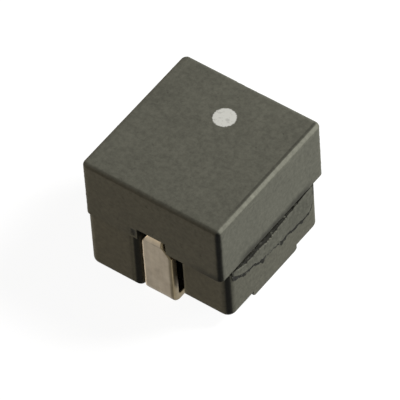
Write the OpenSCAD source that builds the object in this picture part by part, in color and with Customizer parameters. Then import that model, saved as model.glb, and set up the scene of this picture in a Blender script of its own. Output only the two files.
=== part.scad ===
// Shielded surface-mount power inductor: two ferrite halves bonded face to face
// round a single-turn flat copper clip, whose ends come down the core's ends and
// fold under it as solder feet.
// X is across the clip, Y is along it, Z is up.  The origin is the centre of the
// solder plane, under the middle of the block.

/* [Cores] */
// Width of the upper core, across the clip
core_w = 10; // [9:0.1:14]
// Length of the upper core, along the clip
core_l = 10.4; // [9:0.1:14]
// Height of the upper core
upper_h = 4.4; // [3.5:0.1:6]
// Height of the lower core
lower_h = 4.5; // [3.5:0.1:6]
// How far the lower core's sides sit inside the upper core's sides
side_inset = 0.03; // [0:0.01:0.15]
// How far the shorter wall of the lower core stops before each end of the upper core
short_wall_setback = 0.65; // [0.3:0.05:0.8]
// Rounding of the upright edges of the upper core
upright_r = 0.35; // [0.35:0.05:0.6]
// Rounding round the top face of the upper core
crown_r = 0.25; // [0.05:0.05:0.35]
// Rounding of the upright outer edges of the lower core
lower_upright_r = 0.6; // [0.5:0.05:0.8]
// Rounding round the underside of the lower core
heel_r = 0.4; // [0.2:0.05:0.5]

/* [Clip] */
// Thickness of the copper strap
strap_t = 0.6; // [0.3:0.05:0.8]
// Width of the two legs and feet
leg_w = 2.2; // [1.8:0.1:3]
// Width of the run between the cores
neck_w = 1.1; // [0.9:0.1:1.4]
// Sideways place of the run from the middle of the legs, to the -X side
neck_shift = 0.1; // [0:0.02:0.2]
// Slope of the +X shoulder, as drop for each unit of width
shoulder_slope = 1.1; // [0.6:0.1:1.4]
// Height of the steep -X shoulder, which runs on over the bend
steep_shoulder_h = 1; // [0.8:0.1:1.4]
// Inner radius of the bends
bend_in = 0.08; // [0.05:0.01:0.4]
// Length of each foot, from the outer face of its leg
foot_l = 2.5; // [1.8:0.1:3]
// How far the feet stand below the lower core
foot_proud = 0.4; // [0.1:0.05:0.4]
// How far each leg's face sits inside the end of the upper core
clip_setback = 0.25; // [0.1:0.05:0.3]

/* [Clearances] */
// Rounding of the upright slot edge on the longer wall
long_mouth_r = 0.6; // [0.4:0.05:0.7]
// Rounding of the upright slot edge on the shorter wall
short_mouth_r = 0.35; // [0.2:0.05:0.5]
// Gap between a leg and each side of its slot, taken at the middle
slot_gap = 0.22; // [0.2:0.02:0.5]
// Sideways place of the slots from the middle of the legs, to the +X side
slot_shift = 0.12; // [0:0.02:0.14]
// Gap between a leg and the back of its slot
slot_back_gap = 0.9; // [0.3:0.1:1.2]
// Gap on each side of the run in its channel
channel_gap = 0.5; // [0.3:0.05:0.6]
// Gap above the run in its channel
channel_head = 0.3; // [0.05:0.05:0.4]
// Gap between a foot and the end of its pocket
pocket_gap = 0.4; // [0.2:0.1:0.8]
// Gap between a foot and the roof of its pocket
pocket_head = 0.05; // [0.02:0.01:0.1]

/* [Underside] */
// Length of the rest pad under the shorter wall
rest_l = 3.4; // [2.5:0.1:4.5]
// How far the ends of the shorter wall are raised above the rest pad
rest_h = 0.42; // [0.2:0.02:0.5]
// Length of the rest pad's slanted flanks
rest_flank = 0.5; // [0.3:0.1:0.8]

/* [Adhesive] */
// Thickness of the bond between the two cores
bond_t = 0.04; // [0.02:0.01:0.1]
// How far the bond stops inside the cores' faces
bond_inset = 0.15; // [0.1:0.05:0.6]
// How far the squeezed-out adhesive stands outside the lower core
bead_proud = 0.13; // [0.1:0.01:0.2]
// Height of the open groove left under the upper core, above the adhesive
groove_h = 0.32; // [0.1:0.02:0.5]
// Depth of the groove
groove_d = 0.3; // [0.1:0.02:0.5]
// Drop of the adhesive down the shorter wall, at its far end
bead_drop = 2.1; // [1.2:0.1:2.8]
// Height of the adhesive up the side of the upper core, on the longer wall's side
smear_rise = 1.9; // [1:0.1:3]

/* [Hidden] */
$fn = 48;
eps = 0.01;
reach = core_w + core_l;

half_w = core_w / 2;
half_l = core_l / 2;
lower_half_w = half_w - side_inset;
short_half_l = half_l - short_wall_setback;

seam_z = foot_proud + lower_h;
roof_z = seam_z + bond_t;
top_z = roof_z + upper_h;

slot_lo = slot_shift - leg_w / 2 - slot_gap;
slot_hi = slot_shift + leg_w / 2 + slot_gap;
slot_back = clip_setback + strap_t + slot_back_gap;
channel_w = neck_w + 2 * channel_gap;
channel_h = strap_t + channel_head - bond_t;
channel_lo = -neck_shift - neck_w / 2 - channel_gap;
pocket_h = strap_t + pocket_head - foot_proud;
pocket_l = clip_setback + foot_l + pocket_gap;

bend_out = bend_in + strap_t;
leg_face = half_l - clip_setback;
run_top = seam_z + strap_t;
leg_top = run_top - bend_out;
leg_half = leg_w / 2;
neck_lo = -neck_shift - neck_w / 2;
neck_hi = -neck_shift + neck_w / 2;

bead_end = short_half_l - lower_upright_r;
bead_top = seam_z - groove_h;
smear_t = bead_proud - side_inset;
edge_steps = 44;
bead_thin = 0.25;
smear_thin = 0.4;
smear_drop = 1;
lining_t = 0.08;
ripple = 0.07;

ferrite = [0.27, 0.27, 0.24];
ferrite_lower = [0.25, 0.25, 0.23];
tinned = [0.72, 0.69, 0.62];
adhesive = [0.3, 0.3, 0.27];

// ---- profiles ----

// A rectangle centred on x, standing on y = 0, with its upper or lower corners rounded
module rounded_profile(w, h, r_low, r_high) {
    union() {
        translate([-w / 2, r_low]) square([w, h - r_low - r_high]);
        if (r_low > 0) {
            translate([-w / 2 + r_low, 0]) square([w - 2 * r_low, r_low + eps]);
            for (s = [-1, 1]) translate([s * (w / 2 - r_low), r_low]) circle(r_low);
        }
        if (r_high > 0) {
            translate([-w / 2 + r_high, h - r_high - eps]) square([w - 2 * r_high, r_high + eps]);
            for (s = [-1, 1]) translate([s * (w / 2 - r_high), h - r_high]) circle(r_high);
        }
    }
}

// Turns a profile drawn in X and height into a bar along Y
module bar_along_y(l) {
    translate([0, l / 2, 0]) rotate([90, 0, 0]) linear_extrude(l) children();
}

// Turns a profile drawn in Y and height into a bar along X
module bar_along_x(w) {
    translate([-w / 2, 0, 0]) rotate([90, 0, 90]) linear_extrude(w) children();
}

// Block standing on z = 0 with rounded upright edges, and rounding round its base or its top
module rounded_block(w, l, h, upright, low, high) {
    union() {
        bar_along_y(l - 2 * upright) rounded_profile(w, h, low, high);
        bar_along_x(w - 2 * upright) rounded_profile(l, h, low, high);
        for (sx = [-1, 1], sy = [-1, 1])
            translate([sx * (w / 2 - upright), sy * (l / 2 - upright), 0]) rotate_extrude()
                intersection() {
                    rounded_profile(2 * upright, h, low, high);
                    square([upright, h]);
                }
    }
}

// Repeats what is at the -Y end at the +Y end
module both_ends() {
    children();
    mirror([0, 1, 0]) children();
}

// ---- upper core ----

// Channel for the clip's run, open at both ends and downwards
module run_channel() {
    translate([channel_lo, -reach / 2, roof_z - eps]) cube([channel_w, reach, channel_h + eps]);
}

// Small flake broken out of the end face beside the channel's mouth
module mouth_chip() {
    translate([channel_lo - 0.3, -half_l, roof_z + 0.2]) rotate([0, 8, 0]) cylinder(h = 0.5, r = 0.12);
}

module upper_core() {
    color(ferrite) difference() {
        translate([0, 0, roof_z]) rounded_block(core_w, core_l, upper_h, upright_r, 0, crown_r);
        run_channel();
        mouth_chip();
    }
}

// ---- lower core ----

// Longer wall and the middle: run the whole length of the upper core
module long_wall() {
    translate([0, 0, foot_proud]) intersection() {
        rounded_block(2 * lower_half_w, core_l, lower_h, lower_upright_r, heel_r, 0);
        translate([-reach, -reach / 2, 0]) cube([reach + slot_hi, reach, lower_h]);
    }
}

// Side view of the shorter wall's rest pad: slanted flanks, then straight up past the heel
module rest_pad_side() {
    pad_half = rest_l / 2;
    foot_half = pad_half + rest_flank;
    pad_top = rest_h + heel_r;
    polygon([
        [-foot_half, pad_top], [-foot_half, rest_h], [-pad_half, 0],
        [pad_half, 0], [foot_half, rest_h], [foot_half, pad_top]]);
}

// Shorter wall: stops before both ends and rests on a pad at its middle
module short_wall() {
    raised_h = lower_h - rest_h;
    translate([0, 0, foot_proud + rest_h]) intersection() {
        rounded_block(2 * lower_half_w, 2 * short_half_l, raised_h, lower_upright_r, heel_r, 0);
        translate([0, -reach / 2, 0]) cube([reach, reach, raised_h]);
    }
    translate([0, 0, foot_proud]) intersection() {
        bar_along_x(2 * lower_half_w) rest_pad_side();
        bar_along_y(core_l + 2) rounded_profile(2 * lower_half_w, lower_h, heel_r, 0);
        translate([0, -reach / 2, 0]) cube([reach, reach, lower_h]);
    }
}

// Slot that a leg comes down in, with rounded upright mouth edges
module leg_slot() {
    translate([slot_lo, -half_l - 1, 0]) cube([slot_hi - slot_lo, slot_back + 1, seam_z + 1]);
    translate([slot_lo, -half_l, 0]) mirror([1, 0, 0]) mouth_rounding(long_mouth_r);
    translate([slot_hi, -short_half_l, 0]) mouth_rounding(short_mouth_r);
}

// What is cut off the upright edge at the origin to round it, on a wall towards +X and +Y
module mouth_rounding(r) {
    translate([0, 0, -eps]) linear_extrude(seam_z + 1) difference() {
        translate([-eps, -eps]) square([r + eps, r + eps]);
        translate([r, r]) circle(r);
    }
}

// Pocket under the core that a foot folds into
module foot_pocket() {
    translate([slot_lo, -half_l - 1, -1]) cube([slot_hi - slot_lo, pocket_l + 1, 1 + foot_proud + pocket_h]);
}

// Rebate along the upper edge of the shorter wall
module seam_groove() {
    translate([lower_half_w - groove_d, -reach / 2, seam_z - groove_h])
        cube([groove_d + 1, reach, groove_h + 1]);
}

module lower_core() {
    color(ferrite_lower) difference() {
        union() {
            long_wall();
            short_wall();
        }
        both_ends() {
            leg_slot();
            foot_pocket();
        }
        seam_groove();
    }
}

// ---- clip ----

// Quarter bend of the strap: its outside turns from -Y to up, round an axis along X
module bend(w) {
    rotate([90, 0, 90]) translate([0, 0, -w / 2]) rotate_extrude(angle = 90)
        translate([bend_in, 0]) square([strap_t, w]);
}

// Outline of a clip end seen from the end: parallel below, slanted in to the run's width at the top
module clip_end_outline() {
    polygon([
        [-leg_half, 0], [leg_half, 0],
        [leg_half, leg_top - shoulder_slope * (leg_half - neck_hi)], [neck_hi, leg_top],
        [neck_hi, run_top], [neck_lo, run_top], [-leg_half, run_top - steep_shoulder_h]]);
}

// Leg, foot and both bends of the -Y end
module clip_end() {
    intersection() {
        union() {
            translate([-leg_half, -leg_face, bend_out]) cube([leg_w, strap_t, leg_top - bend_out]);
            translate([0, -leg_face + bend_out, leg_top]) mirror([0, 1, 0]) bend(leg_w);
            translate([0, -leg_face + bend_out, bend_out]) mirror([0, 1, 0]) mirror([0, 0, 1]) bend(leg_w);
        }
        translate([0, -leg_face + bend_out, 0]) rotate([90, 0, 0])
            linear_extrude(bend_out) clip_end_outline();
    }
    translate([-leg_half, -leg_face + bend_out, 0]) cube([leg_w, foot_l - bend_out, strap_t]);
}

module winding_clip() {
    run_half = leg_face - bend_out;
    color(tinned) union() {
        both_ends() clip_end();
        translate([neck_lo, -run_half, seam_z]) cube([neck_w, 2 * run_half, strap_t]);
    }
}

// ---- adhesive ----

// Bond on one side of the channel, as a flat film between two values of x
module bond_film(x_low, x_high, y_half) {
    translate([x_low, -y_half, seam_z]) cube([x_high - x_low, 2 * y_half, bond_t]);
}

// Lower edge of the adhesive on the shorter wall: thin at the near end, deep at the far one
function bead_low(t) = bead_top - bead_thin
    - (bead_drop - groove_h - bead_thin) * pow(sin(90 * min(1, 1.25 * t)), 0.7)
    - ripple * (sin(1500 * t) + 0.6 * sin(2700 * t + 40));

// Adhesive run down over the shorter wall
module bead_sheet() {
    translate([lower_half_w, 0, 0]) rotate([90, 0, 90]) linear_extrude(bead_proud) polygon(concat(
        [[-bead_end, bead_top]],
        [for (i = [0:edge_steps]) let (t = i / edge_steps) [(2 * t - 1) * bead_end, bead_low(t)]],
        [[bead_end, bead_top]]));
}

// Hollow fillet of adhesive that lines the groove, from the bond out to the sheet
module groove_lining() {
    fillet = min(groove_d, groove_h) - lining_t;
    translate([lower_half_w - groove_d, 0, bead_top]) bar_along_y(2 * bead_end) difference() {
        union() {
            square([fillet + lining_t, fillet + lining_t]);
            square([groove_d + bead_proud, lining_t]);
            square([lining_t, groove_h + bond_t]);
        }
        translate([fillet + lining_t, fillet + lining_t]) circle(fillet);
    }
}

module adhesive_right() {
    color(adhesive) union() {
        bond_film(slot_hi, lower_half_w - groove_d + lining_t, short_half_l - bond_inset);
        groove_lining();
        bead_sheet();
    }
}

// Upper edge of the smear on the longer wall's side: high at the near end
function smear_high(t) = roof_z + smear_thin
    + (smear_rise - smear_thin) * pow(max(0, cos(150 * t)), 1.5) + ripple * sin(1300 * t);

// Lower edge of the smear: it clears the seam at the near end, then covers it
function smear_low(t) = roof_z + smear_thin
    - (smear_drop + smear_thin) * pow(sin(90 * min(1, 3 * t)), 2) + ripple * sin(1700 * t + 90);

// Adhesive wiped along the seam on the longer wall's side
module smear_sheet() {
    smear_half = half_l - lower_upright_r;
    difference() {
        translate([-half_w - smear_t, 0, 0]) rotate([90, 0, 90])
            linear_extrude(smear_t + side_inset) polygon(concat(
                [for (i = [0:edge_steps]) let (t = i / edge_steps) [(2 * t - 1) * smear_half, smear_low(t)]],
                [for (i = [edge_steps:-1:0]) let (t = i / edge_steps)
                    [(2 * t - 1) * smear_half, smear_high(t)]]));
        translate([-half_w, -reach / 2, roof_z]) cube([reach, reach, upper_h]);
    }
}

module adhesive_left() {
    color(adhesive) union() {
        bond_film(-lower_half_w - eps, min(slot_lo, channel_lo), half_l - bond_inset);
        smear_sheet();
    }
}

lower_core();
winding_clip();
adhesive_right();
adhesive_left();
upper_core();
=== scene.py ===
import math

import bpy
from mathutils import Matrix, Vector
from mathutils import noise as noise_field


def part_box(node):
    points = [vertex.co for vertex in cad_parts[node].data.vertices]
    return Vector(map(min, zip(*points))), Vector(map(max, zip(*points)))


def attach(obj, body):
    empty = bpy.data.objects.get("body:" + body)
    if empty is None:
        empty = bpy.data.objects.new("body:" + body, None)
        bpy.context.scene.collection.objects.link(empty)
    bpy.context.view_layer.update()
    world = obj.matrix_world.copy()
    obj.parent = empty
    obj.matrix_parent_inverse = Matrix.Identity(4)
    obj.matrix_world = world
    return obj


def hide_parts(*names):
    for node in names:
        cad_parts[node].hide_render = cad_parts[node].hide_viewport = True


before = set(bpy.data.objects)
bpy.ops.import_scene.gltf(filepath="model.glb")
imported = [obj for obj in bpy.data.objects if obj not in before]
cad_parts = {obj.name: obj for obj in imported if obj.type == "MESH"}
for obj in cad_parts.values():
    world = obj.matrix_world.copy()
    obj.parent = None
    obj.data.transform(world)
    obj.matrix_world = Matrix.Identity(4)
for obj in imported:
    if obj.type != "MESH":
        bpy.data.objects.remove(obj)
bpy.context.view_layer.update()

# Places and sizes below are in millimetres, unless a comment says otherwise
MM = 0.001
# Height of the lower half's upper face
SEAM = 4.9
scene = bpy.context.scene


# ---- camera, lamps, floor ----

# Turns in degrees: round the block from its -Y end, up from level, and on the lens axis
CAMERA_AZIMUTH = 39.326
CAMERA_ELEVATION = 49.392
CAMERA_ROLL = -4.283
# Where it looks, how far off it stands, and its lens on a 36 mm frame
CAMERA_AIM = Vector((-0.082, -0.397, 4.479))
CAMERA_DISTANCE = 335.134
CAMERA_LENS = 507.69
# Where the lamps point, and how far off they hang
BLOCK_MIDDLE = Vector((0, 0, 4.5))
LAMP_DISTANCE = 300


def place_camera():
    azimuth, elevation, roll = (
        math.radians(a) for a in (CAMERA_AZIMUTH, CAMERA_ELEVATION, CAMERA_ROLL))
    back = Vector((math.sin(azimuth) * math.cos(elevation),
                   -math.cos(azimuth) * math.cos(elevation), math.sin(elevation)))
    level_right = Vector((math.cos(azimuth), math.sin(azimuth), 0))
    level_up = back.cross(level_right)
    right = level_right * math.cos(roll) + level_up * math.sin(roll)
    turn = Matrix((right, back.cross(right), back)).transposed().to_4x4()
    data = bpy.data.cameras.new("camera")
    data.lens = CAMERA_LENS
    data.clip_start = 0.01
    data.clip_end = 5
    camera = bpy.data.objects.new("camera", data)
    scene.collection.objects.link(camera)
    place = CAMERA_AIM * MM + back * CAMERA_DISTANCE * MM
    camera.matrix_world = Matrix.Translation(place) @ turn
    scene.camera = camera


def lamp(name, azimuth, elevation, size, level, colour):
    """Area lamp aimed at the block; level 1 makes a facing colour render as it is written"""
    distance = LAMP_DISTANCE * MM
    a, e = math.radians(azimuth), math.radians(elevation)
    way = Vector((math.cos(a) * math.cos(e), math.sin(a) * math.cos(e), math.sin(e)))
    data = bpy.data.lights.new(name, "AREA")
    data.shape = "SQUARE"
    data.size = size * MM
    data.energy = level * math.pi ** 2 * distance ** 2
    data.color = colour
    obj = bpy.data.objects.new(name, data)
    scene.collection.objects.link(obj)
    turn = way.to_track_quat("Z", "Y").to_matrix().to_4x4()
    obj.matrix_world = Matrix.Translation(BLOCK_MIDDLE * MM + way * distance) @ turn


def empty_tree(owner):
    owner.use_nodes = True
    owner.node_tree.nodes.clear()
    return owner.node_tree.nodes, owner.node_tree.links


def coloured(nodes, kind, colour, strength=None):
    shader = nodes.new(kind)
    shader.inputs["Color"].default_value = (*colour, 1)
    if strength is not None:
        shader.inputs["Strength"].default_value = strength
    return shader


def show_apart(nodes, links, output, lighting, seen):
    """Bounced light meets one shader; the camera, mirrors and glass see the other"""
    path = nodes.new("ShaderNodeLightPath")
    straight = path.outputs["Is Camera Ray"]
    for name in ("Is Glossy Ray", "Is Transmission Ray"):
        either = nodes.new("ShaderNodeMath")
        either.operation = "MAXIMUM"
        links.new(straight, either.inputs[0])
        links.new(path.outputs[name], either.inputs[1])
        straight = either.outputs[0]
    mix = nodes.new("ShaderNodeMixShader")
    links.new(straight, mix.inputs[0])
    links.new(lighting.outputs[0], mix.inputs[1])
    links.new(seen.outputs[0], mix.inputs[2])
    links.new(mix.outputs[0], nodes.new(output).inputs[0])


def light_room():
    world = bpy.data.worlds.new("studio")
    scene.world = world
    nodes, links = empty_tree(world)
    soft = coloured(nodes, "ShaderNodeBackground", (0.95, 0.97, 1), strength=0.06)
    white = coloured(nodes, "ShaderNodeBackground", (1, 1, 1), strength=1)
    show_apart(nodes, links, "ShaderNodeOutputWorld", soft, white)
    lamp("high_lamp", 45, 45, size=100, level=1.15, colour=(1, 0.99, 0.97))
    lamp("low_lamp", 46, 8, size=80, level=0.8, colour=(0.97, 1, 1))
    lamp("left_lamp", -142, 4, size=50, level=0.56, colour=(1, 0.85, 0.67))


def lay_floor():
    """Grey to the light that bounces, white to look at, and it keeps the block's shadow"""
    bpy.ops.mesh.primitive_plane_add(size=2, location=(0, 0, 0))
    floor = bpy.context.object
    floor.name = "floor"
    material = bpy.data.materials.new("white_floor")
    nodes, links = empty_tree(material)
    dull = coloured(nodes, "ShaderNodeBsdfDiffuse", (0.12, 0.12, 0.12))
    glow = coloured(nodes, "ShaderNodeEmission", (1, 1, 1), strength=0.93)
    catch = coloured(nodes, "ShaderNodeBsdfDiffuse", (0.15, 0.15, 0.15))
    bright = nodes.new("ShaderNodeAddShader")
    links.new(glow.outputs[0], bright.inputs[0])
    links.new(catch.outputs[0], bright.inputs[1])
    show_apart(nodes, links, "ShaderNodeOutputMaterial", dull, bright)
    floor.data.materials.append(material)


# ---- finishes ----

# Most of a noise lies between these two values
NOISE_LOW = 0.3
NOISE_HIGH = 0.7


class Finish:
    """A material in the making. Each helper adds a node and hands back what comes out of it,
    and those that end in _by join it to the shader."""

    def __init__(self, name):
        self.material = bpy.data.materials.new(name)
        self.nodes, self.links = empty_tree(self.material)
        self.shader = self.nodes.new("ShaderNodeBsdfPrincipled")
        output = self.nodes.new("ShaderNodeOutputMaterial")
        self.links.new(self.shader.outputs[0], output.inputs[0])
        place = self.nodes.new("ShaderNodeTexCoord")
        self.point = place.outputs["Object"]
        self.x, self.y, self.z = self.split(self.point)
        self.nx, self.ny, self.nz = self.split(place.outputs["Normal"])

    def split(self, vector):
        parts = self.nodes.new("ShaderNodeSeparateXYZ")
        self.links.new(vector, parts.inputs[0])
        return list(parts.outputs)

    def noise(self, scale, detail=4, rough=0.5, point=None):
        """Scale is in cells per metre"""
        node = self.nodes.new("ShaderNodeTexNoise")
        for name, value in (("Scale", scale), ("Detail", detail), ("Roughness", rough)):
            node.inputs[name].default_value = value
        self.links.new(self.point if point is None else point, node.inputs["Vector"])
        return node.outputs["Fac"]

    def calculate(self, how, *values):
        node = self.nodes.new("ShaderNodeMath")
        node.operation = how
        for socket, value in zip(node.inputs, values):
            if isinstance(value, (int, float)):
                socket.default_value = value
            else:
                self.links.new(value, socket)
        return node.outputs[0]

    def unsigned(self, value):
        return self.calculate("ABSOLUTE", value)

    def plus(self, first, second):
        return self.calculate("ADD", first, second)

    def larger(self, first, second):
        return self.calculate("MAXIMUM", first, second)

    def times(self, *values):
        last = values[0]
        for value in values[1:]:
            last = self.calculate("MULTIPLY", last, value)
        return last

    def rescale(self, value, low, high, to_low=0, to_high=1, smooth=False):
        """to_low at low, to_high at high, and no further on either side"""
        node = self.nodes.new("ShaderNodeMapRange")
        if smooth:
            node.interpolation_type = "SMOOTHSTEP"
        self.links.new(value, node.inputs["Value"])
        for name, number in (("From Min", low), ("From Max", high),
                             ("To Min", to_low), ("To Max", to_high)):
            node.inputs[name].default_value = number
        return node.outputs["Result"]

    def fade(self, place, start, end, to_start=0, to_end=1, smooth=False):
        """rescale from one place to another in millimetres"""
        return self.rescale(place, start * MM, end * MM, to_start, to_end, smooth)

    def between(self, place, low, high, soft):
        """1 from low to high, fading to 0 over a soft width outside"""
        low, high, soft = low * MM, high * MM, soft * MM
        up = self.rescale(place, low - soft, low, 0, 1, smooth=True)
        down = self.rescale(place, high, high + soft, 1, 0, smooth=True)
        return self.times(up, down)

    def mottle(self, low, high, scale, detail=4, rough=0.5, point=None):
        """Noise spread from low to high"""
        return self.rescale(self.noise(scale, detail, rough, point), NOISE_LOW, NOISE_HIGH, low, high)

    def where(self, mask, factor):
        """The factor where the mask is 1, and 1 where it is 0"""
        return self.rescale(mask, 0, 1, 1, factor)

    def tint(self, colour, factor):
        """A colour times a factor that varies over the surface"""
        node = self.nodes.new("ShaderNodeVectorMath")
        node.operation = "SCALE"
        node.inputs[0].default_value = colour
        self.links.new(factor, node.inputs["Scale"])
        return node.outputs[0]

    def laid_over(self, mask, under, over):
        """One colour over another by a mask; the upper one may be plain"""
        node = self.nodes.new("ShaderNodeMix")
        node.data_type = "RGBA"
        self.links.new(mask, node.inputs["Factor"])
        self.links.new(under, node.inputs["A"])
        if isinstance(over, tuple):
            node.inputs["B"].default_value = (*over, 1)
        else:
            self.links.new(over, node.inputs["B"])
        return node.outputs["Result"]

    def colour_by(self, colour):
        self.links.new(colour, self.shader.inputs["Base Color"])

    def roughen_by(self, roughness):
        self.links.new(roughness, self.shader.inputs["Roughness"])

    def raise_by(self, height, strength, distance):
        bump = self.nodes.new("ShaderNodeBump")
        bump.inputs["Strength"].default_value = strength
        bump.inputs["Distance"].default_value = distance * MM
        self.links.new(height, bump.inputs["Height"])
        self.links.new(bump.outputs[0], self.shader.inputs["Normal"])


# Colours of the finishes
UPPER_GREY = (0.1013, 0.1003, 0.0805)
LOWER_GREY = (0.1034, 0.1006, 0.0783)
RESIN_GREY = (0.098, 0.097, 0.079)
TIN = (0.266, 0.224, 0.164)
COPPERY = (0.15, 0.12, 0.07)
PALE_INK = (0.62, 0.62, 0.58)
# Printed dot: its middle, its radius, and how far its rim strays from it
DOT_MIDDLE = Vector((0, 2.36, 9.34))
DOT_RADIUS = 0.72
DOT_RAGGED = 0.03


def ferrite_body(name, corner_width):
    """Pressed and ground ferrite: a grey with clouds, grain and small pits, with painted shade on its
    rounded corners at +X -Y and -X +Y
    """
    f = Finish(name)
    cloud = f.mottle(0.93, 1.07, 420, detail=5, rough=0.65)
    grain = f.mottle(0.81, 1.19, 3600, detail=3, rough=0.7)
    pits = f.rescale(f.noise(2600, detail=2), 0.7, 0.76, 1, 0.72)
    # painted shade on the two corners that turn from an end to a side at +X -Y and -X +Y
    painted_corner_shade = f.rescale(f.times(f.nx, f.ny, -1), 0.5 - corner_width, 0.48, 1, 0.14, smooth=True)
    f.shader.inputs["Roughness"].default_value = 0.6
    f.shader.inputs["Specular IOR Level"].default_value = 0.06
    f.raise_by(f.noise(4200, rough=0.65), strength=0.3, distance=0.02)
    return f, f.times(cloud, grain, pits, painted_corner_shade)


def wavering(f, place, scale):
    """A height whose level runs unevenly by a tenth of a millimetre"""
    return f.plus(place, f.mottle(-0.1 * MM, 0.1 * MM, scale, detail=3))


def top_edge_light_and_shade(f, patchiness):
    """Painted highlight along the long top edge on the +X side, brighter over one short stretch; painted
    shade on the end edges and in a fine line beside the highlight
    """
    # painted highlight: the rounding between the top and the +X side made up to half as bright again,
    # unevenly, and brighter still over one short stretch
    plus_x_crown = f.rescale(f.times(f.nx, f.nz), 0.16, 0.46, smooth=True)
    crown_highlight = f.where(f.times(plus_x_crown, f.rescale(patchiness, 0.3, 0.62, 0.75, 1.2)), 1.5)
    highlight_spot = f.where(f.times(plus_x_crown, f.between(f.y, -1.72, -1.56, 0.1)), 1.2)
    # painted shade on the rounded top edges at the -Y and +Y ends
    end_edge = f.rescale(f.times(f.ny, f.nz, -1), 0.03, 0.3, 1, 0.7, smooth=True)
    # painted shade: a fine dark line on the top face just inside the +X top edge, fading out towards the
    # -Y end
    line = f.times(f.rescale(f.nz, 0.9, 0.99), f.between(f.x, 4.66, 4.78, 0.09),
                   f.fade(f.y, -4, -2.2, smooth=True), f.rescale(patchiness, 0.32, 0.5, 0.5, 1))
    return crown_highlight, highlight_spot, end_edge, f.where(line, 0.6)


def channel_painted_shade(f):
    # painted shade: the inside of the channel darkened to an eighth
    inside = f.times(f.between(f.x, -1.62, 1, 0.02), f.fade(f.z, 5.8, 5.86, 1, 0),
                     f.fade(f.unsigned(f.y), 5.185, 5.08))
    return f.where(inside, 0.12)


def dark_flake(f, patchiness):
    flake = f.times(f.between(f.x, -1.56, -1.24, 0.06), f.between(f.z, 5.1, 5.6, 0.08),
                    f.rescale(f.ny, -0.2, -0.6), f.rescale(patchiness, 0.4, 0.55, 0.3, 1))
    return f.where(flake, 0.35)


def joint_painted_shade(f):
    """Thin band of painted shade along the lowest half millimetre of the -Y end and +X side, over the
    joint
    """
    low = f.fade(wavering(f, f.z, 1200), 5.5, 5.02, smooth=True)
    front = f.times(f.rescale(f.ny, -0.6, -0.9), f.fade(f.x, 1.8, 4.4, smooth=True))
    side = f.times(f.rescale(f.nx, 0.6, 0.9), f.between(f.y, -2.6, 3, 1.3))
    return f.where(f.times(low, f.plus(front, side)), 0.42)


def ink_dot(f):
    """Mask of the round dot on the top: ragged at its rim, thin in places"""
    away = f.nodes.new("ShaderNodeVectorMath")
    away.operation = "DISTANCE"
    f.links.new(f.point, away.inputs[0])
    away.inputs[1].default_value = DOT_MIDDLE * MM
    reach = f.plus(away.outputs["Value"], f.mottle(-DOT_RAGGED * MM, DOT_RAGGED * MM, 9000, detail=2))
    disc = f.fade(reach, DOT_RADIUS - DOT_RAGGED, DOT_RADIUS + DOT_RAGGED, 0.93, 0)
    thin = f.rescale(f.noise(5200, detail=3), 0.34, 0.42, 0.72, 1)
    return f.times(disc, f.rescale(f.nz, 0.9, 0.99), thin)


def ferrite_upper():
    """Upper half: painted highlight along the long top edge, painted shade on the end edges, in the
    channel and along the joint, one dot of pale ink
    """
    f, plain = ferrite_body("ferrite_upper", corner_width=0.38)
    patchiness = f.noise(2600, detail=3, rough=0.6)
    factor = f.times(plain, *top_edge_light_and_shade(f, patchiness), channel_painted_shade(f), dark_flake(f, patchiness),
                     joint_painted_shade(f))
    f.colour_by(f.laid_over(ink_dot(f), f.tint(UPPER_GREY, factor), PALE_INK))
    return f.material


def ferrite_lower():
    """Lower half: painted shade inside the slots, painted light on a strip at the back of each
    and on their rounded left mouths, with a thin painted shadow under the joint"""
    f, plain = ferrite_body("ferrite_lower", corner_width=0.16)
    end = f.unsigned(f.y)
    # painted shade inside the slots
    inside = f.times(f.between(f.x, -1.35, 0.6, 0.1), f.fade(end, 4.9, 4.55, smooth=True))
    # painted light: a strip at the back of each slot made three and a half times as bright, and the
    # rounded left mouth twice as bright
    back_strip_light = f.times(f.rescale(f.unsigned(f.ny), 0.6, 0.9), f.between(f.x, 0.9, 1.3, 0.05),
                      f.fade(end, 4.85, 4.7))
    rounded_mouth = f.times(f.rescale(f.nx, 0.15, 0.5, smooth=True),
                            f.between(f.x, -1.95, -1.3, 0.02), f.fade(end, 4.5, 4.75))
    lighter = f.times(f.where(back_strip_light, 3.5), f.where(rounded_mouth, 2.1))
    long_side = f.rescale(f.unsigned(f.nx), 0.7, 0.95, 1, 0.88)
    # painted shadow under the cap's lower edge, deepest towards the +X side
    high = f.fade(wavering(f, f.z, 700), 4.6, 4.86, smooth=True)
    right = f.fade(f.x, 1.8, 4, 0.05, 0.5, smooth=True)
    joint_painted_shadow = f.where(f.times(high, right), 0)
    factor = f.times(plain, f.where(inside, 0.55), joint_painted_shadow, lighter, long_side)
    f.colour_by(f.tint(LOWER_GREY, factor))
    return f.material


def resin_finish():
    """Adhesive: grey and dull outside; darker and glossier where it is thin, painted shade where it lies
    deep in the groove, with painted glints there
    """
    f = Finish("adhesive_resin")
    # painted shade deep in the groove: the adhesive darkened to a fifth just inside the wall's face and
    # below, which takes in its thin film at the lower margin too; the -X smear keeps its full colour
    thick = f.larger(f.fade(f.x, 4.982, 5.016, 0.19, 1, smooth=True), f.fade(f.x, 0, -1))
    cloud = f.mottle(0.82, 1.14, 900, detail=5, rough=0.65)
    grain = f.mottle(0.82, 1.16, 4200, detail=3, rough=0.7)
    glints = f.times(f.rescale(thick, 0.2, 0.5, 0.75, 0), f.rescale(f.noise(2800, detail=2), 0.56, 0.68))
    f.colour_by(f.tint(RESIN_GREY, f.plus(f.times(cloud, grain, thick), glints)))
    f.roughen_by(f.rescale(thick, 0, 1, 0.3, 0.6))
    f.shader.inputs["Specular IOR Level"].default_value = 0.015
    f.raise_by(f.noise(3500, rough=0.6), strength=0.4, distance=0.03)
    return f.material


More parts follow.
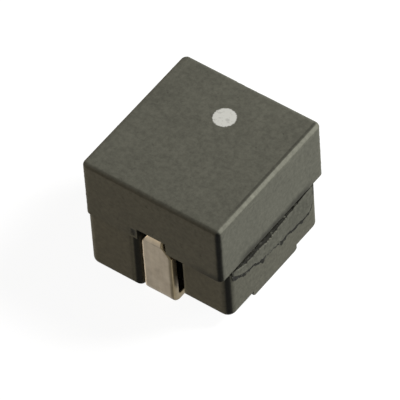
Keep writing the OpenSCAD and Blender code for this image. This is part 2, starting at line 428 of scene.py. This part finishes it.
def tin():
    """Tinned strip: mottled face with faint streaks along it, painted highlight along the -X edge,
    coppery cut side
    """
    f = Finish("tinned_copper")
    cloud = f.mottle(0.86, 1.12, 1300, detail=5, rough=0.65)
    # squeezed to a tenth along y and z, so that the noise is drawn out into streaks
    along = f.nodes.new("ShaderNodeCombineXYZ")
    for socket, value in zip(along.inputs, (f.x, f.times(f.y, 0.1), f.times(f.z, 0.1))):
        f.links.new(value, socket)
    streak = f.noise(3800, detail=3, point=along.outputs[0])
    streaks = f.rescale(streak, NOISE_LOW, NOISE_HIGH, 0.92, 1.07)
    # painted highlight: the face made up to two and a half times as bright along its -X edge
    bright = f.fade(f.x, -0.9, -0.99, 1, 2.5, smooth=True)
    crease = f.times(f.between(f.z, 4.72, 4.8, 0.05), f.rescale(f.noise(1500, detail=2), 0.35, 0.55))
    over_bend = f.fade(f.z, 4.76, 4.84, 1, 1.14)
    tinned = f.tint(TIN, f.times(cloud, streaks, bright, f.where(crease, 0.7), over_bend))
    cut = f.larger(f.rescale(f.nx, 0.04, 0.35, smooth=True), f.fade(f.x, 0.8, 0.93, smooth=True))
    cut_face = f.rescale(f.nx, 0.5, 0.9, 0.8, 1.8, smooth=True)
    f.colour_by(f.laid_over(cut, tinned, f.tint(COPPERY, f.times(cloud, cut_face))))
    f.shader.inputs["Metallic"].default_value = 0.9
    f.roughen_by(f.rescale(cloud, 0.86, 1.12, 0.5, 0.36))
    f.raise_by(streak, strength=0.2, distance=0.02)
    return f.material


def finish_node(name, material):
    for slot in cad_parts[name].material_slots:
        slot.material = material


# ---- shaping helpers; pieces are shaped in millimetres and scaled down at the end ----

def deselect():
    bpy.ops.object.select_all(action="DESELECT")


def enter_edit(piece):
    bpy.context.view_layer.objects.active = piece
    bpy.ops.object.mode_set(mode="EDIT")


def leave_edit():
    bpy.ops.object.mode_set(mode="OBJECT")


def apply_place(piece):
    deselect()
    piece.select_set(True)
    bpy.context.view_layer.objects.active = piece
    bpy.ops.object.transform_apply(location=True, rotation=True, scale=True)


def apply_modifier(piece, modifier):
    bpy.context.view_layer.objects.active = piece
    bpy.ops.object.modifier_apply(modifier=modifier.name)


def select_none(mesh):
    for group in (mesh.vertices, mesh.edges, mesh.polygons):
        group.foreach_set("select", [False] * len(group))


def select_edges(piece, wanted):
    """Selects the edges whose two end points pass the test, and stays in edit mode"""
    scene.tool_settings.mesh_select_mode = (False, True, False)
    mesh = piece.data
    select_none(mesh)
    points = [v.co for v in mesh.vertices]
    for edge in mesh.edges:
        edge.select = wanted(points[edge.vertices[0]], points[edge.vertices[1]])
    enter_edit(piece)


def select_faces(piece, wanted):
    """Selects the faces whose middle passes the test, and stays in edit mode"""
    scene.tool_settings.mesh_select_mode = (False, False, True)
    select_none(piece.data)
    for face in piece.data.polygons:
        face.select = wanted(face.center)
    enter_edit(piece)


def near(a, b):
    return abs(a - b) < 1e-3


def clamp(value, low=0, high=1):
    return max(low, min(high, value))


def slice_at(piece, axis, places):
    """Cuts right through, square to one axis, and keeps both sides"""
    way = [0, 0, 0]
    way[axis] = 1
    enter_edit(piece)
    for place in places:
        bpy.ops.mesh.select_all(action="SELECT")
        bpy.ops.mesh.bisect(plane_co=[place * w for w in way], plane_no=way, threshold=1e-5)
    leave_edit()


def divide(piece, axis, low, high, step):
    """Divides the edges that run along one axis from low to high into equal steps"""
    def spans(a, b):
        straight = all(near(a[i], b[i]) for i in range(3) if i != axis)
        return straight and near(min(a[axis], b[axis]), low) and near(max(a[axis], b[axis]), high)
    select_edges(piece, spans)
    bpy.ops.mesh.subdivide(number_cuts=max(1, round((high - low) / step) - 1))
    leave_edit()


def round_edges(piece, wanted, radius, segments):
    select_edges(piece, wanted)
    bpy.ops.mesh.bevel(offset=radius, segments=segments, profile=0.5, affect="EDGES",
                       clamp_overlap=False)
    leave_edit()


def fill_inside(piece, wanted):
    """Spans one face over a loop of edges"""
    select_edges(piece, wanted)
    bpy.ops.mesh.edge_face_add()
    leave_edit()


def push_in(piece, name, depth, cell, layers, contrast=1, level=1, weight=None):
    """Presses an uneven texture into the surface; it only goes inwards"""
    texture = bpy.data.textures.new(piece.name + "_" + name, "CLOUDS")
    texture.noise_scale = cell
    texture.noise_depth = layers
    texture.contrast = contrast
    texture.intensity = level
    push = piece.modifiers.new(name, "DISPLACE")
    push.texture = texture
    push.texture_coords = "LOCAL"
    push.mid_level = 0
    push.strength = -depth
    if weight:
        group = piece.vertex_groups.new(name=name)
        for v in piece.data.vertices:
            if weight(v.co) > 0:
                group.add([v.index], weight(v.co), "REPLACE")
        push.vertex_group = group.name
    apply_modifier(piece, push)
    piece.vertex_groups.clear()


def face_outwards(piece):
    deselect()
    piece.select_set(True)
    enter_edit(piece)
    bpy.ops.mesh.select_all(action="SELECT")
    bpy.ops.mesh.normals_make_consistent(inside=False)
    leave_edit()


def finish_piece(piece, node, material, smooth_below=35):
    face_outwards(piece)
    piece.scale = (MM, MM, MM)
    apply_place(piece)
    bpy.ops.object.shade_smooth_by_angle(angle=math.radians(smooth_below))
    piece.data.materials.clear()
    piece.data.materials.append(material)
    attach(piece, "root")
    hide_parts(node)


# ---- upper half ----

# Sides and roof of the channel for the clip's run
CHANNEL = (-1.15, 0.95)
CHANNEL_TOP = 5.80
# Rounding of the upright edges, and of the edge round the top
UPRIGHT_R = 0.35
CROWN_R = 0.25
# The upper half is drawn down over the film of adhesive, to a hairline from the lower half
HAIRLINE = 0.006
# Worn strip along each edge
WORN_WIDTH = 0.35
# Small flake broken out beside the channel's mouth
FLAKE_X, FLAKE_Z = -1.42, 5.36
FLAKE_HALF_W, FLAKE_HALF_H = 0.2, 0.36
FLAKE_DEPTH = 0.05
END_FACE = -5.19
FINE_STEP = 0.11


def cut_channel(piece, low, high):
    """Takes the channel out of the underside, from end to end"""
    slice_at(piece, 0, CHANNEL)
    slice_at(piece, 2, [CHANNEL_TOP])

    def at_end(p):
        return near(abs(p[1]), high[1])

    def in_channel(p):
        across = CHANNEL[0] < p[0] < CHANNEL[1]
        return across and p[2] < CHANNEL_TOP and (near(p[2], low[2]) or at_end(p))
    select_faces(piece, in_channel)
    bpy.ops.mesh.delete(type="FACE")
    leave_edit()
    for wall in CHANNEL:
        fill_inside(piece, lambda a, b: all(
            near(p[0], wall) and at_end(p) and p[2] < CHANNEL_TOP + 0.01 for p in (a, b)))
    fill_inside(piece, lambda a, b: all(near(p[2], CHANNEL_TOP) and at_end(p) for p in (a, b))
                and {round(a[0], 2), round(b[0], 2)} == set(CHANNEL))


def round_block(piece, high):
    """Rounds the four upright edges, then the edge round the top"""
    def upright(a, b):
        at_corner = near(abs(a[0]), high[0]) and near(abs(a[1]), high[1])
        return at_corner and near(a[0], b[0]) and near(a[1], b[1])
    round_edges(piece, upright, UPRIGHT_R, 6)

    def on_crown(a, b):
        if not (near(a[2], high[2]) and near(b[2], high[2])):
            return False
        return not (near(a[0], b[0]) and CHANNEL[0] - 0.01 < a[0] < CHANNEL[1] + 0.01)
    round_edges(piece, on_crown, CROWN_R, 5)


def divide_faces(piece, low, high):
    """Gives the flat faces points enough to take the wear"""
    flat_x, flat_y = high[0] - UPRIGHT_R, high[1] - UPRIGHT_R
    slice_at(piece, 0, [-flat_x, flat_x])
    slice_at(piece, 1, [-flat_y, flat_y])
    step = FINE_STEP
    for a, b in ((-flat_x, CHANNEL[0]), CHANNEL, (CHANNEL[1], flat_x)):
        divide(piece, 0, a, b, step)
    divide(piece, 1, -flat_y, flat_y, step)
    divide(piece, 2, low[2], CHANNEL_TOP, step)
    divide(piece, 2, CHANNEL_TOP, high[2] - CROWN_R, step)


def break_flake(piece):
    for v in piece.data.vertices:
        away = ((v.co.x - FLAKE_X) / FLAKE_HALF_W) ** 2 + ((v.co.z - FLAKE_Z) / FLAKE_HALF_H) ** 2
        if away < 1 and v.co.y < END_FACE:
            v.co.y += FLAKE_DEPTH * (1 - away)


def upper_half(material):
    low, high = (Vector(c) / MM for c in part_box("upper_core"))
    low.z = SEAM + HAIRLINE
    bpy.ops.mesh.primitive_cube_add(size=1, location=(low + high) / 2, scale=high - low)
    piece = bpy.context.object
    piece.name = "upper_half"
    apply_place(piece)
    cut_channel(piece, low, high)
    round_block(piece, high)
    divide_faces(piece, low, high)
    face_outwards(piece)

    def near_edge(p):
        """1 on an edge of the block, fading to 0 at the worn strip's width from it"""
        gaps = sorted((high[0] - abs(p[0]), high[1] - abs(p[1]), high[2] - p[2]))
        return max(0, 1 - gaps[1] / WORN_WIDTH)
    push_in(piece, "wear", depth=0.035, cell=0.22, layers=3, contrast=2.5, level=0.9,
            weight=near_edge)
    break_flake(piece)
    finish_piece(piece, "upper_core", material)


# ---- clip ----

# Thickness of the strip, and the outer radius of its bends
STRIP = 0.6
BEND = 0.68
# Outer side of each leg from the middle of the block, half a leg's width, a cut halfway up it
LEG_FACE = 4.95
LEG_HALF = 1.1
LEG_MIDDLE = 2.4
# Length of a foot from the leg's outer side, and height of the run's upper side
FOOT = 2.5
RUN_TOP = 5.5
# Slanted shoulders: where each starts on the leg, and the sides of the neck they narrow it to
NECK = (-0.65, 0.45)
RIGHT_START = 4.105
LEFT_START = 4.5
RIGHT_SLOPE = 1.1
# Width that is taken off each long edge to soften it
SOFT_EDGE = 0.13
# Cuts that give the strip points enough to take the waves
CUTS_UP = [0.3 + 0.12 * i for i in range(43)]
CUTS_ACROSS = [-0.95 + 0.17 * i for i in range(12)]


def narrow_neck(piece):
    left_run = RUN_TOP - LEFT_START
    for v in piece.data.vertices:
        if v.co.z > RIGHT_START and v.co.x > 0:
            v.co.x = max(NECK[1], LEG_HALF - (v.co.z - RIGHT_START) / RIGHT_SLOPE)
        elif v.co.z > LEFT_START and v.co.x < 0:
            v.co.x = min(NECK[0], -LEG_HALF + (LEG_HALF + NECK[0]) * (v.co.z - LEFT_START) / left_run)


def clip(material):
    """One strip drawn out from the tip of its foot to the middle of the run, then mirrored"""
    tip = FOOT - LEG_FACE
    bend_y, leg_top = BEND - LEG_FACE, RUN_TOP - BEND
    bpy.ops.mesh.primitive_plane_add(size=1, location=(0, tip, STRIP / 2),
                                     rotation=(math.pi / 2, 0, 0))
    piece = bpy.context.object
    piece.scale = (2 * LEG_HALF, STRIP, 1)
    piece.name = "bent_clip"
    apply_place(piece)
    enter_edit(piece)
    bpy.ops.mesh.select_mode(type="FACE")
    bpy.ops.mesh.select_all(action="SELECT")

    def draw_out(y, z):
        bpy.ops.mesh.extrude_region_move(TRANSFORM_OT_translate={"value": (0, y, z)})

    def bend_at(z):
        bpy.ops.mesh.spin(steps=8, angle=math.pi / 2, center=(0, bend_y, z), axis=(1, 0, 0))
    draw_out(bend_y - tip, 0)
    bend_at(BEND)
    levels = (BEND, LEG_MIDDLE, RIGHT_START, LEFT_START, leg_top)
    for a, b in zip(levels, levels[1:]):
        draw_out(0, b - a)
    bend_at(leg_top)
    draw_out(-bend_y, 0)
    bpy.ops.mesh.delete(type="FACE")
    leave_edit()
    narrow_neck(piece)
    half = piece.modifiers.new("other_end", "MIRROR")
    half.use_axis = (False, True, False)
    half.merge_threshold = 1e-4
    apply_modifier(piece, half)
    soften = piece.modifiers.new("soft_edges", "BEVEL")
    soften.width = SOFT_EDGE
    soften.segments = 3
    soften.limit_method = "ANGLE"
    soften.angle_limit = math.radians(50)
    apply_modifier(piece, soften)
    slice_at(piece, 2, CUTS_UP)
    slice_at(piece, 0, CUTS_ACROSS)
    face_outwards(piece)
    # the slight waves that bending and handling leave in flat sheet
    push_in(piece, "waves", depth=0.035, cell=0.9, layers=2)
    finish_piece(piece, "winding_clip", material, 50)


# ---- adhesive ----

# Outer side of the shorter wall, half the length of the adhesive on it, and the height of
# the rebate along its upper edge that the groove lies in
WALL = 4.97
BEAD_END = 4.12
REBATE = 0.32
BEAD_THICKEST = 0.125
# Back of the smear, inside both halves, and its thin margin, just proud of them
SMEAR_BACK = -4.95
SMEAR_SIDE = -5.005
SMEAR_HALF = 4.58
SMEAR_MIDDLE = SEAM + 0.44
SMEAR_THICKEST = 0.09


def swept_ring(name, rings):
    """Closed skin through a row of rings of points; the first and last ring are filled"""
    across, along = len(rings[0]), len(rings) - 1
    bpy.ops.mesh.primitive_grid_add(x_subdivisions=along, y_subdivisions=across, size=1,
                                    location=(0, 0, 0))
    piece = bpy.context.object
    piece.name = name
    for v in piece.data.vertices:
        i = round((v.co.x + 0.5) * along)
        j = round((v.co.y + 0.5) * across) % across
        v.co = rings[i][j]
    enter_edit(piece)
    bpy.ops.mesh.select_mode(type="VERT")
    bpy.ops.mesh.select_all(action="SELECT")
    bpy.ops.mesh.remove_doubles(threshold=1e-5)
    bpy.ops.mesh.select_all(action="DESELECT")
    bpy.ops.mesh.select_non_manifold()
    bpy.ops.mesh.fill_holes(sides=0)
    leave_edit()
    return piece


def uneven(a, b, c, cell, octaves=3):
    """Fixed unevenness about nothing; the last two places tell one use from another"""
    return noise_field.fractal(Vector((a, b, c)) / cell, 0.8, 2.0, octaves)


def thins_at_ends(t, steepness):
    return min(1, steepness * t, steepness * (1 - t)) ** 0.5


def bead_low(t, y):
    """Lower margin: ragged, sinking towards the +Y end, where it turns up"""
    hang = math.sin(math.pi / 2 * min(1, 1.25 * t)) ** 0.7
    return SEAM - 0.5 - 1.5 * hang - 0.12 * uneven(y, 3, 0, 0.9) - 0.1 * uneven(y, 9, 0, 0.42) \
        + 1.3 * max(0, (y - 3.3) / 0.82) ** 3


def bead_top(y):
    """Upper margin: the groove over it opens near the -Y end and closes from the middle on"""
    open_here = clamp((y + 4.1) / 1.3) * clamp((3.6 - y) / 3.7)
    return SEAM - 0.1 - 0.42 * open_here - (0.04 + 0.16 * open_here) * abs(uneven(y, 5, 1, 0.4))


def bead_ring(t):
    """Section of the adhesive over the shorter wall, at a share t of its length from the -Y end"""
    y = (2 * t - 1) * BEAD_END
    taper = thins_at_ends(t, 14)
    low, top = bead_low(t, y), bead_top(y)
    margin_film_edge = low - (0.24 + 0.07 * taper + 0.24 * max(-0.5, uneven(y, 1, 7, 0.55))
                        + 0.06 * uneven(y, 1, 3, 0.15))
    lip = (0.085 + 0.03 * uneven(y, 2, 2, 1.1, 2)) * taper
    # thin film below, darkened by the finish, then the rolled lower lip
    points = [(WALL - 0.03, margin_film_edge), (WALL + 0.005, margin_film_edge + 0.01), (WALL + 0.008, low - 0.01),
              (WALL + 0.5 * lip, low + 0.005), (WALL + 0.9 * lip, low + 0.04), (WALL + lip, low + 0.1)]
    # uneven outer face
    rows = 16
    for k in range(1, rows):
        s = k / rows
        z = low + 0.1 + s * (top - 0.08 - low - 0.1)
        body = 0.065 + 0.03 * uneven(y, z, 4, 0.9) + 0.012 * uneven(y, z, 8, 0.3)
        x = lip + (body * taper - lip) * min(1, 3 * s)
        points.append((WALL + clamp(x, 0.01, BEAD_THICKEST), z))
    # rolled upper lip, thin film up to the rebate's rim, lumpy floor of the groove, and its back
    roll = (0.08 + 0.03 * uneven(y, 6, 3, 0.7)) * taper
    film = 0.006 + 0.03 * max(0, uneven(y, 7, 2, 0.25))
    rim = max(top + 0.02, SEAM - REBATE + 0.01)
    floor = max(top - 0.05, SEAM - REBATE + 0.02)
    lump = abs(0.06 * uneven(y, 4, 4, 0.22))
    points += [(WALL + roll, top - 0.06), (WALL + 0.6 * roll, top - 0.01), (WALL + film, top + 0.01),
               (WALL + film, 0.5 * (top + rim)), (WALL + 0.006, rim),
               (WALL - 0.08, floor + 0.02 + lump), (WALL - 0.14, floor + lump),
               (WALL - 0.2, floor + 0.5 * lump), (WALL - 0.25, floor + 0.05 + lump),
               (WALL - 0.28, floor + 0.12), (WALL - 0.29, SEAM + 0.02),
               (WALL - 0.31, SEAM + 0.02), (WALL - 0.31, margin_film_edge)]
    return [(x, y, z) for x, z in points]


def bead(material):
    steps = 240
    piece = swept_ring("adhesive_bead", [bead_ring(i / steps) for i in range(steps + 1)])
    finish_piece(piece, "adhesive_right", material, 60)


def smear_ring(t):
    """Section of the adhesive wiped along the seam on the longer wall's side"""
    y = (2 * t - 1) * SMEAR_HALF
    taper = thins_at_ends(t, 20)
    rise = 1.45 * max(0, math.cos(math.radians(150 * t))) ** 1.5
    drop = 1.4 * math.sin(math.pi / 2 * min(1, 3 * t)) ** 2 * min(1, 7 * (1 - t)) ** 0.5
    high = SMEAR_MIDDLE + rise + 0.1 * uneven(y, 3, 5, 0.8) + 0.04 * uneven(y, 3, 9, 0.2)
    low = SMEAR_MIDDLE - drop + 0.1 * uneven(y, 8, 5, 0.7) + 0.04 * uneven(y, 8, 9, 0.2)
    points = [(SMEAR_BACK, low), (SMEAR_SIDE, low + 0.01)]
    rows = 14
    for k in range(rows + 1):
        s = k / rows
        z = low + 0.03 + s * (high - low - 0.06)
        swell = (4 * s * (1 - s)) ** 0.35
        body = 0.05 + 0.025 * uneven(y, z, 14, 0.6) + 0.015 * uneven(y, z, 18, 0.2)
        points.append((SMEAR_SIDE - clamp(body, 0.004, SMEAR_THICKEST) * swell * taper, z))
    points += [(SMEAR_SIDE, high - 0.01), (SMEAR_BACK, high)]
    return [(x, y, z) for x, z in points]


def smear(material):
    steps = 150
    piece = swept_ring("adhesive_smear", [smear_ring(i / steps) for i in range(steps + 1)])
    finish_piece(piece, "adhesive_left", material, 60)


# ---- making ----

place_camera()
light_room()
lay_floor()
resin = resin_finish()
finish_node("lower_core", ferrite_lower())
upper_half(ferrite_upper())
clip(tin())
bead(resin)
smear(resin)

scene.view_settings.view_transform = "Standard"
